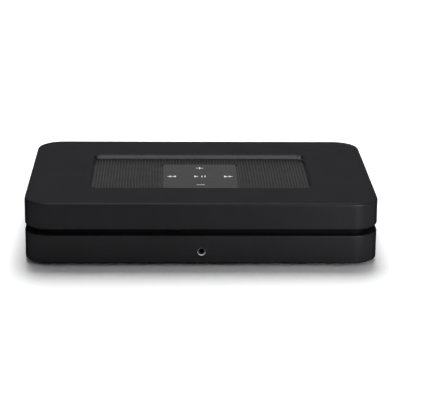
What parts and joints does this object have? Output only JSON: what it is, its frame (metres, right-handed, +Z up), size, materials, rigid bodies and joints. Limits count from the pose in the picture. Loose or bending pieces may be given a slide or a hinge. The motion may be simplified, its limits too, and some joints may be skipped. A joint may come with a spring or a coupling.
{
  "type": "network music streamer",
  "caption": "Low rounded music streamer with a shadow groove round its waist, a ribbed recess with a touch panel on top, a headphone socket in front and a recessed bay of sockets behind.",
  "frame": {"origin": "on the floor, under the middle of the casing", "axes": "+X to the right seen from the front, +Y towards the back with the sockets, +Z up"},
  "size_m": [0.22, 0.146, 0.041],
  "materials": {
    "casing_plastic": "fine satin moulded black plastic",
    "ribbed_plastic": "dark grey moulded plastic with fine ribs",
    "touch_plate": "smooth grey touch plate with printed marks",
    "waist_plastic": "plain black plastic in the shadow groove",
    "window_plastic": "dark infrared-passing plastic",
    "painted_steel": "black powder-coated sheet steel",
    "panel_plastic": "plain black moulded plastic",
    "foot_rubber": "matte black rubber",
    "screw_steel": "blackened steel screws",
    "circuit_board": "green glass-fibre board",
    "light_guide": "milky clear light guide",
    "chip_plastic": "black chip packages",
    "insulation_film": "pale insulating film",
    "thermal_rubber": "soft blue-grey thermal pad",
    "sink_aluminium": "bare extruded aluminium",
    "shield_metal": "tinned sheet metal",
    "capacitor_sleeve": "sleeved capacitor cans",
    "header_plastic": "pale cable connectors",
    "lead_jacket": "thin black lead jackets",
    "ribbon_film": "amber flexible ribbon cable",
    "winding": "taped copper windings",
    "fuse_ceramic": "ceramic fuse tube",
    "socket_plastic": "plain black socket mouldings",
    "bright_metal": "bright plated metal",
    "gold_plate": "gold-plated contacts"
  },
  "bodies": {
    "casing": {"aerial_leads": "lead_jacket", "aerials": "shield_metal", "audio_capacitors": "capacitor_sleeve", "base_plate": "painted_steel", "base_screws": "screw_steel", "board_chips": "chip_plastic", "board_screws": "screw_steel", "cable_headers": "header_plastic", "casing_screws": "screw_steel", "coaxial_output_body": "socket_plastic", "combined_input_socket": "socket_plastic", "ethernet_socket": "shield_metal", "headphone_board": "circuit_board", "headphone_ribbon": "ribbon_film", "headphone_ring": "bright_metal", "headphone_socket": "socket_plastic", "heat_sink": "sink_aluminium", "insert_screws": "screw_steel", "insulation_sheet": "insulation_film", "ir_board": "circuit_board", "ir_board_screw": "screw_steel", "ir_input_socket": "socket_plastic", "ir_receiver": "chip_plastic", "ir_window": "window_plastic", "line_output_body": "socket_plastic", "lower_casing": "casing_plastic", "main_board": "circuit_board", "mains_filter_coil": "winding", "mains_fuse": "fuse_ceramic", "mains_inlet": "socket_plastic", "mains_pins": "bright_metal", "optical_emitter": "chip_plastic", "optical_socket": "socket_plastic", "phono_contacts": "gold_plate", "phono_shells": "gold_plate", "processor_chip": "chip_plastic", "radio_module": "shield_metal", "rear_panel": "panel_plastic", "rear_panel_screws": "screw_steel", "ribbed_insert": "ribbed_plastic", "rubber_feet": "foot_rubber", "shutter_pin": "bright_metal", "shutter_spring": "bright_metal", "subwoofer_output_body": "socket_plastic", "supply_board": "circuit_board", "supply_capacitors": "capacitor_sleeve", "supply_harness": "lead_jacket", "supply_transformer": "winding", "thermal_pad": "thermal_rubber", "touch_board": "circuit_board", "touch_light_guide": "light_guide", "touch_panel": "touch_plate", "touch_ribbon": "ribbon_film", "trigger_socket": "socket_plastic", "upper_casing": "casing_plastic", "usb_socket_shell": "shield_metal", "usb_tongue": "socket_plastic", "waist_frame": "waist_plastic"},
    "optical_shutter": {"optical_shutter": "socket_plastic"}
  },
  "joints": [
    {"name": "optical_shutter_hinge", "type": "hinge", "parent": "casing", "child": "optical_shutter", "pos_m": [0.02013, 0.0612, 0.0217], "axis": [-1, 0, 0], "range_deg": [0, 88], "stiffness_Nm_per_rad": 0.0002, "springref_deg": -22.92}
  ]
}
